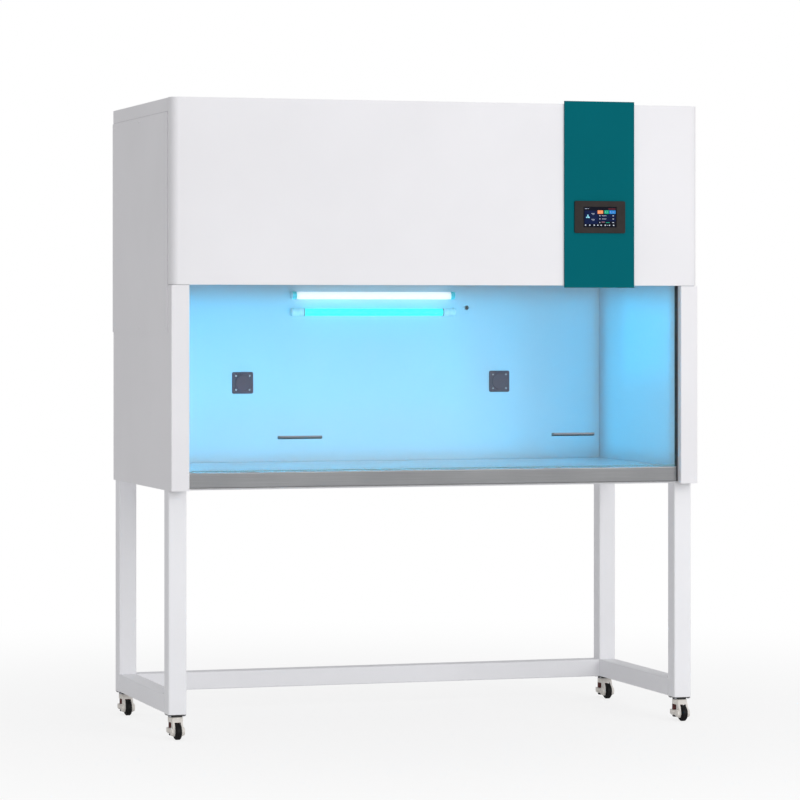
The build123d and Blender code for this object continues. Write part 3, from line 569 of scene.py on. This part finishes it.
lampTrim = {
    "capWall": 0.8,
    "ledBandWide": 12.0,
    "uvBandWide": 2.0,
    "bandProud": 0.25,
    "seamWide": 0.8,
    "seamProud": 0.2,
    "domeEdge": 1.5,
    "lap": 0.1,
    "pinInset": 5.0,
    "pinRadius": 1.8,
    "pinRise": 1.8,
    "pinSunk": 0.3,
}


def addLampTrim():
    edge = extent("lamp_holders")[1].x
    thin, step, lap = [lampTrim[key] for key in ("seamWide", "seamProud", "lap")]
    # the LED tube's bands get a painted glow, standing in for the lamp's light
    glowPaintedSleeve = glowPaintedPlastic("ledSleeve", linear(70, 206, 214), linear(96, 226, 232), 0.12)
    bandPaint = {"led": glowPaintedSleeve, "uv": finishes["guide_black"]}
    pins = []
    for kind in ("led", "uv"):
        low, high = extent(kind + "_tube")
        y, z = (low.y + high.y) / 2, (low.z + high.z) / 2
        radius = (high.z - low.z) / 2 + lampTrim["capWall"]
        inner = 2 * high.x - edge  # the tube ends half-way along its cap
        sunk, ridge, proud = radius - step, radius + step, radius + lampTrim["bandProud"]
        wide = lampTrim[kind + "BandWide"]
        band = turned([(sunk, 0), (proud, step), (proud, wide), (sunk, wide + step)], 32)
        frames = [facing((side * (inner + step), y, z), (side, 0, 0)) for side in (-1, 1)]
        scatter(kind + "Bands", band, frames, "cabinet", bandPaint[kind])
        cap = turned([(sunk, -thin), (ridge, -thin * 0.7), (ridge, 0),
                      (radius - lampTrim["domeEdge"], thin), (0, thin)], 32)
        frames = [facing((side * (edge - lap), y, z), (side, 0, 0)) for side in (-1, 1)]
        scatter(kind + "EndCaps", cap, frames, "cabinet", finishes["white_plastic"])
        if kind == "uv":
            across = edge - lampTrim["pinInset"]
            pins += [facing((side * across, y, z + radius - lap), up) for side in (-1, 1)]
    size, rise = lampTrim["pinRadius"], lampTrim["pinRise"]
    pin = turned([(0, rise), (size * 0.7, rise), (size, rise * 0.6), (size, -lampTrim["pinSunk"])], 12)
    scatter("lampLocks", pin, pins, "cabinet", finishes["dark_steel"])


portBush = {
    "inner": 5.25,
    "outer": 6.2,
    "wall": 0.6,
    "lip": 0.5,
    "lead": 0.2,
    "edge": 0.3,
    "depth": 9.0,
}


def addPortBush():
    # a rubber bush lines the probe port and leaves its hole as wide as before
    port = [mount["pos_m"] for mount in frame["record"]["mounts"] if mount["name"] == "probe_port"][0]
    wall = extent("inner_back_wall")[0].y
    inner, outer, lip, depth = [portBush[key] for key in ("inner", "outer", "lip", "depth")]
    skin = inner + portBush["wall"]
    profile = [(inner, -depth), (inner, lip * 0.6), (inner + portBush["lead"], lip),
               (outer - portBush["edge"], lip), (outer, 0), (skin, 0), (skin, -depth), (inner, -depth)]
    bush = placed(turned(profile, 24), facing((port[0] / mm, wall, port[2] / mm), front))
    putPiece("portBush", bush, "cabinet", finishes["nylon_black"])


casterBolts = {"plateThick": 2.5, "reach": 19.0, "size": 3.4, "rise": 2.6}


def addCasterBolts():
    foot = extent("caster_plates")[1].z - casterBolts["plateThick"]
    reach, size, rise = [casterBolts[key] for key in ("reach", "size", "rise")]
    frames = []
    for leg in ("leg_front_left", "leg_front_right", "leg_rear_left", "leg_rear_right"):
        low, high = extent(leg)
        x, y = (low.x + high.x) / 2, (low.y + high.y) / 2
        frames += [facing((x + dx * reach, y + dy * reach, foot), down) for dx, dy in corners]
    bolt = turned([(0, rise), (size * 0.9, rise), (size, rise * 0.85), (size, 0)], 6)
    scatter("casterBolts", bolt, frames, "cabinet", finishes["zinc"])


inletScrews = {"reach": 19.5, "scale": 0.6}


def addInletScrews():
    low, high = extent("power_inlet")
    x, z = (low.x + high.x) / 2, (low.z + high.z) / 2
    frames = [facing((x + side * inletScrews["reach"], high.y, z), back) for side in (-1, 1)]
    screws("inletScrews", frames, inletScrews["scale"])


sealant = {"radius": 1.5, "smoothness": 3}


def addSealant():
    # a bead of sealant in the corner between the worktop and the liner
    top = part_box("worktop")[1].z
    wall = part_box("inner_back_wall")[0].y
    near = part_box("sash_guide_left")[1].y
    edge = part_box("inner_side_right")[0].x
    line = bpy.data.curves.new("sealantBead", "CURVE")
    line.dimensions = "3D"
    line.bevel_depth = sealant["radius"] * mm
    line.bevel_resolution = sealant["smoothness"]
    turns = [(-edge, near), (-edge, wall), (edge, wall), (edge, near)]
    run = line.splines.new("POLY")
    run.points.add(len(turns) - 1)
    for point, (x, y) in zip(run.points, turns):
        point.co = (x, y, top, 1)
    line.materials.append(finishes["liner"])
    item = bpy.data.objects.new("sealantBead", line)
    bpy.context.scene.collection.objects.link(item)
    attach(item, "cabinet")


inks = {
    "pale": ((150, 158, 176), 0.45),
    "white": ((200, 208, 220), 0.45),
    "rose": ((128, 50, 60), 0.3),
    "orange": ((222, 134, 84), 0.5),
    "green": ((24, 156, 124), 0.45),
    "blue": ((44, 124, 196), 0.5),
    "cyan": ((140, 210, 228), 0.5),
    "pink": ((170, 120, 140), 0.35),
    "navy": ((8, 22, 58), 0.5),
}


def glowingInk(name):
    colour, strength = inks[name]
    tone = linear(*colour)

    def draw(field):
        grid = noise(field, 2600.0, 1.0)
        cloud = noise(field, 90.0, 3.0)
        share = (grid * 0.4 + cloud * 0.6).ramp(0.3, 0.7)
        return {
            "Base Color": share.mix(shade(tone, 0.85), tone),
            "Emission Color": share.mix(shade(tone, 0.8), tone),
        }
    fixed = {"Emission Strength": strength, "Roughness": 0.3, "Specular IOR Level": 0.04}
    return makeMaterial("ink_" + name, fixed, draw)


page = {
    "proud": 0.12,
    "corner": 0.8,
    "fanPlace": (-35.3, 0.9),
    "bladeLong": 5.2,
    "bladeWide": 3.6,
    "bladeCorner": 1.7,
    "bladeOut": 3.2,
    "blades": 3,
}
footPlaces = (-42.1, -29.7, -16.7, -6.2, 3.7, 15.5, 27.9, 40.2)
footSigns = [(across, -22.2, 3.6, 2.8) for across in footPlaces]

# an ink, then its marks: across and up from the window's centre, width and height
pageMarks = {
    "pageGround": ("navy", [
        (-25.0, -0.5, 40.0, 37.0), (21.5, 2.6, 50.0, 9.6), (21.5, -7.6, 50.0, 8.0),
    ]),
    "pageTitle": ("pale", [(-40.5, 23.0, 7.0, 1.8), (-34.0, 23.2, 4.0, 1.2)]),
    "pageNotice": ("rose", [(35.0, 22.6, 21.0, 1.5)]),
    "pageOrange": ("orange", [(1.2, 13.9, 16.3, 9.6)]),
    "pageGreen": ("green", [(19.5, 13.9, 13.0, 9.6), (22.9, -14.9, 10.6, 1.6)]),
    "pageBlue": ("blue", [(36.8, 13.9, 18.4, 9.6)]),
    "pageTileSigns": ("white", [
        (-3.0, 14.2, 2.6, 3.4), (4.4, 12.4, 4.6, 0.9), (4.4, 15.2, 3.0, 0.9),
        (16.2, 14.0, 2.4, 3.2), (21.6, 13.9, 3.4, 0.9),
        (31.4, 14.0, 2.6, 3.4), (39.4, 12.4, 6.4, 0.9), (39.4, 15.2, 4.6, 0.9),
    ]),
    "pageLevels": ("pale", [
        (-20.3, 9.8, 9.6, 1.4), (-19.4, 6.9, 6.2, 1.0),
        (-20.3, -6.2, 9.6, 1.4), (-19.4, -9.3, 6.2, 1.0),
    ]),
    "pageRows": ("white", [
        (-0.3, 3.75, 2.6, 2.2), (12.3, 3.75, 13.0, 0.9), (39.0, 3.75, 4.6, 1.5),
        (-0.3, -4.9, 2.6, 2.2), (12.3, -4.9, 13.0, 0.9), (39.0, -4.9, 4.6, 1.5),
        (-0.3, -14.7, 2.6, 2.2), (39.0, -14.7, 4.6, 1.5),
    ]),
    "pageRowRose": ("pink", [(9.6, -13.6, 9.6, 1.5)]),
    "pageFoot": ("white", footSigns + [(21.3, -22.2, 1.2, 2.2)]),
}


def addDisplayPage():
    glassFront = extent("display_screen")[0].y
    low, high = extent("display_bezel")
    x, z = (low.x + high.x) / 2, (low.z + high.z) / 2
    colours = {name: glowingInk(name) for name in inks}
    proud = page["proud"]
    for name, (ink, marks) in pageMarks.items():
        # the ground lies under the other marks
        thick = proud if name == "pageGround" else 2 * proud
        shape = bmesh.new()
        for across, rise, wide, tall in marks:
            mark = roundedPlate(wide, tall, thick, min(page["corner"], wide / 3, tall / 3))
            joinInto(shape, placed(mark, facing((x + across, glassFront, z + rise), front)))
        putPiece(name, shape, "cabinet", colours[ink])
    blade = roundedPlate(page["bladeLong"], page["bladeWide"], 2 * proud, page["bladeCorner"])
    bmesh.ops.translate(blade, verts=blade.verts, vec=(page["bladeOut"] * mm, 0, 0))
    across, rise = page["fanPlace"]
    turns = [math.radians(90 + 360 / page["blades"] * step) for step in range(page["blades"])]
    frames = [facing((x + across, glassFront, z + rise), front, turn) for turn in turns]
    scatter("pageFan", blade, frames, "cabinet", colours["cyan"])


addCoverScrews()
addBackScrews()
addRoofScrews()
addSocketTrim()
addLampTrim()
addPortBush()
addCasterBolts()
addInletScrews()
addSealant()
addDisplayPage()

print("stage")

stage = {"floorHalf": 14.0, "shadowReach": 1.9, "shadowSoft": 1.4, "shadowShare": 0.22}


def whiteToCamera(field):
    rays = field.node("LightPath").socket.node.outputs
    direct = Field(field.tree, rays["Is Camera Ray"])
    through = Field(field.tree, rays["Is Transmission Ray"])
    return direct.maths("MINIMUM", direct + through, 1.0)


def floorMaterial():
    material = bpy.data.materials.new("paleFloor")
    material.use_nodes = True
    material.node_tree.nodes.clear()
    start = Field(material.node_tree)
    place = here(start)
    far = start.node("VectorMath", {"operation": "LENGTH"}, {0: place}, out=1)
    reach, soft, share = [stage[key] for key in ("shadowReach", "shadowSoft", "shadowShare")]
    beyond = far.ramp(reach - soft, reach + soft)
    white = whiteToCamera(start) * ((1 - share) + share * beyond)
    grain = noise(start, 40.0, 3.0).ramp(0.3, 0.7)
    paper = grain.mix((0.93, 0.93, 0.93, 1), (0.95, 0.95, 0.95, 1))
    lit = start.node("BsdfDiffuse", None, {"Color": paper})
    glow = start.node("Emission", None, {"Color": (1, 1, 1, 1), "Strength": 1.0})
    both = start.node("MixShader", None, {0: white, 1: lit, 2: glow})
    start.node("OutputMaterial", None, {"Surface": both})
    return material


def makeFloor():
    item = emptyMesh("studioFloor")
    shape = bmesh.new()
    bmesh.ops.create_grid(shape, x_segments=2, y_segments=2, size=stage["floorHalf"])
    shape.to_mesh(item.data)
    shape.free()
    item.data.materials.append(floorMaterial())


lighting = {
    "sky": 0.56,
    "washColour": (0.015, 0.60, 1.0),
    "washSpread": 11.0,
    "washTop": 1.185,
    "washFront": -0.285,
}


def makeWorld():
    world = bpy.data.worlds.new("studioWorld")
    bpy.context.scene.world = world
    world.use_nodes = True
    world.node_tree.nodes.clear()
    start = Field(world.node_tree)
    sky = {"Color": (0.99, 0.99, 1.0, 1), "Strength": lighting["sky"]}
    soft = start.node("Background", None, sky)
    white = start.node("Background", None, {"Color": (1, 1, 1, 1), "Strength": 1.0})
    both = start.node("MixShader", None, {0: whiteToCamera(start), 1: soft, 2: white})
    start.node("OutputWorld", None, {"Surface": both})


# place, aim, size and power
softboxes = {
    "frontSoftbox": ((3.2, -6.5, 3.0), (0, 0, 1.0), 4.0, 150.0),
    "lowSoftbox": ((-0.6, -6.5, 0.7), (0, 0, 0.4), 2.5, 44.0),
}

# each wash faces the back or a side: its reach from one edge to the other, its foot and its strength
washes = {
    "backWash": ("back", -0.70, 0.28, 0.86, 0.68),
    "middleWash": ("back", -0.70, 0.45, 0.725, 0.68),
    "wideWash": ("back", -0.70, 0.69, 0.725, 1.35),
    "rightWash": ("right", -0.28, 0.10, 0.95, 1.2),
    "rightWideWash": ("right", -0.28, 0.24, 0.725, 1.8),
    "leftWash": ("left", -0.28, 0.10, 0.95, 1.2),
    "leftWideWash": ("left", -0.28, 0.24, 0.725, 1.8),
}
ways = {"back": Vector((0, 1, 0)), "right": Vector((1, 0, 0)), "left": Vector((-1, 0, 0))}


def makeAreaLamp(name, place, target, size, power, colour=(1, 1, 1)):
    lamp = bpy.data.lights.new(name, "AREA")
    lamp.shape = "SQUARE"
    lamp.size = size
    lamp.energy = power
    lamp.color = colour
    item = bpy.data.objects.new(name, lamp)
    item.location = place
    item.rotation_euler = (Vector(target) - Vector(place)).to_track_quat("-Z", "Y").to_euler()
    bpy.context.scene.collection.objects.link(item)
    return item


def makeWashes():
    # narrow soft lamps inside the work zone stand for the light that the tubes throw about
    for name, (way, near, far, foot, strength) in washes.items():
        wide, tall = far - near, lighting["washTop"] - foot
        middle, height = (near + far) / 2, foot + tall / 2
        place = Vector((0, middle, height))
        if way == "back":
            place = Vector((middle, lighting["washFront"], height))
        power = strength * wide * tall
        item = makeAreaLamp(name, place, place + ways[way], wide, power, lighting["washColour"])
        item.data.shape = "RECTANGLE"
        item.data.size_y = tall
        item.data.spread = math.radians(lighting["washSpread"])
        item.visible_camera = False
        item.visible_glossy = False


viewer = {
    "place": (-2.920, -9.343, 1.1385),
    "turn": -17.32,
    "sensor": 36.0,
    "lens": 156.86,
    "shift": -0.1097,
}


def makeCamera():
    lens = bpy.data.cameras.new("viewer")
    lens.sensor_width = viewer["sensor"]
    lens.sensor_fit = "HORIZONTAL"
    lens.lens = viewer["lens"]
    lens.shift_y = viewer["shift"]
    lens.clip_end = 100.0
    item = bpy.data.objects.new("viewer", lens)
    item.location = viewer["place"]
    item.rotation_euler = (math.radians(90), 0, math.radians(viewer["turn"]))
    bpy.context.scene.collection.objects.link(item)
    bpy.context.scene.camera = item


makeFloor()
makeWorld()
for name, (place, target, size, power) in softboxes.items():
    makeAreaLamp(name, place, target, size, power)
makeWashes()
makeCamera()
bpy.context.scene.view_settings.view_transform = "Standard"
